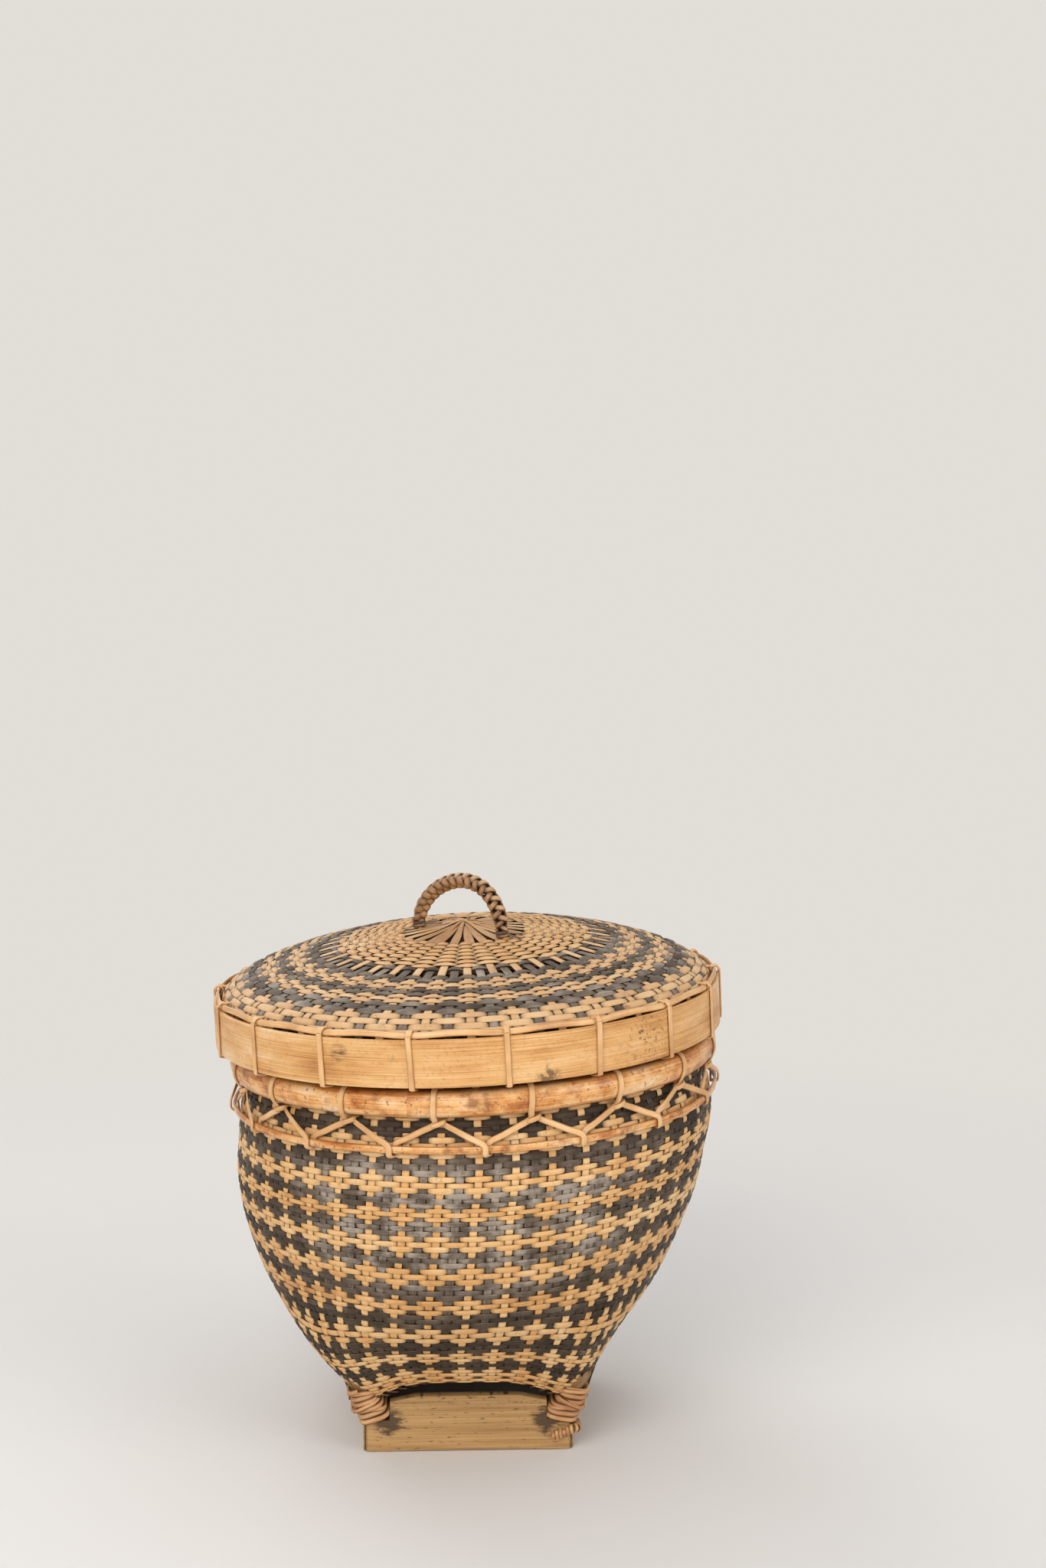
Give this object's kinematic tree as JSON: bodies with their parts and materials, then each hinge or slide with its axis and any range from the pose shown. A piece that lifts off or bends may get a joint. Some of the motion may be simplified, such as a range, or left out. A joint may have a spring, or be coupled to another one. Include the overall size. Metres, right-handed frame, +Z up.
{
  "type": "lidded rice basket",
  "caption": "Lidded rattan basket: a black and tan woven body, square at the foot and round at the rim, on a wooden frame, with a domed lid and a plaited handle.",
  "frame": {"origin": "on the ground under the middle of the base frame", "axes": "+Z up, +X to the right and -Y towards the viewer of the picture, square to the base frame within a few degrees"},
  "size_m": [0.2837, 0.2802, 0.3088],
  "materials": {
    "tan_splint": "satin",
    "black_splint": "satin",
    "bamboo_band": "satin",
    "rim_cane": "satin",
    "lashing_cane": "satin",
    "base_wood": "matte",
    "handle_plait": "satin"
  },
  "bodies": {
    "basket": {"base_board_front": "base_wood", "base_board_right": "base_wood", "base_board_back": "base_wood", "base_board_left": "base_wood", "corner_stakes_front_right": "tan_splint", "corner_stakes_back_right": "tan_splint", "corner_stakes_back_left": "tan_splint", "corner_stakes_front_left": "tan_splint", "corner_lashing_front_right": "lashing_cane", "corner_lashing_back_right": "lashing_cane", "corner_lashing_back_left": "lashing_cane", "corner_lashing_front_left": "lashing_cane", "corner_knot_front_right": "lashing_cane", "basket_body": "tan_splint", "rim_hoop": "rim_cane", "inner_rim_hoop": "bamboo_band", "mouth_ring": "lashing_cane", "tie_ring": "rim_cane", "rim_lashing": "lashing_cane"},
    "lid": {"lid_dome": "tan_splint", "lid_band": "bamboo_band", "lid_inner_band": "bamboo_band", "lid_lashing": "lashing_cane", "lid_handle": "handle_plait", "handle_knot_left": "handle_plait", "handle_knot_right": "handle_plait"}
  },
  "joints": [
    {"name": "lid_lift", "type": "slide", "parent": "basket", "child": "lid", "axis": [-0.0436, 0, 0.999], "range_m": [0, 0.12]}
  ]
}
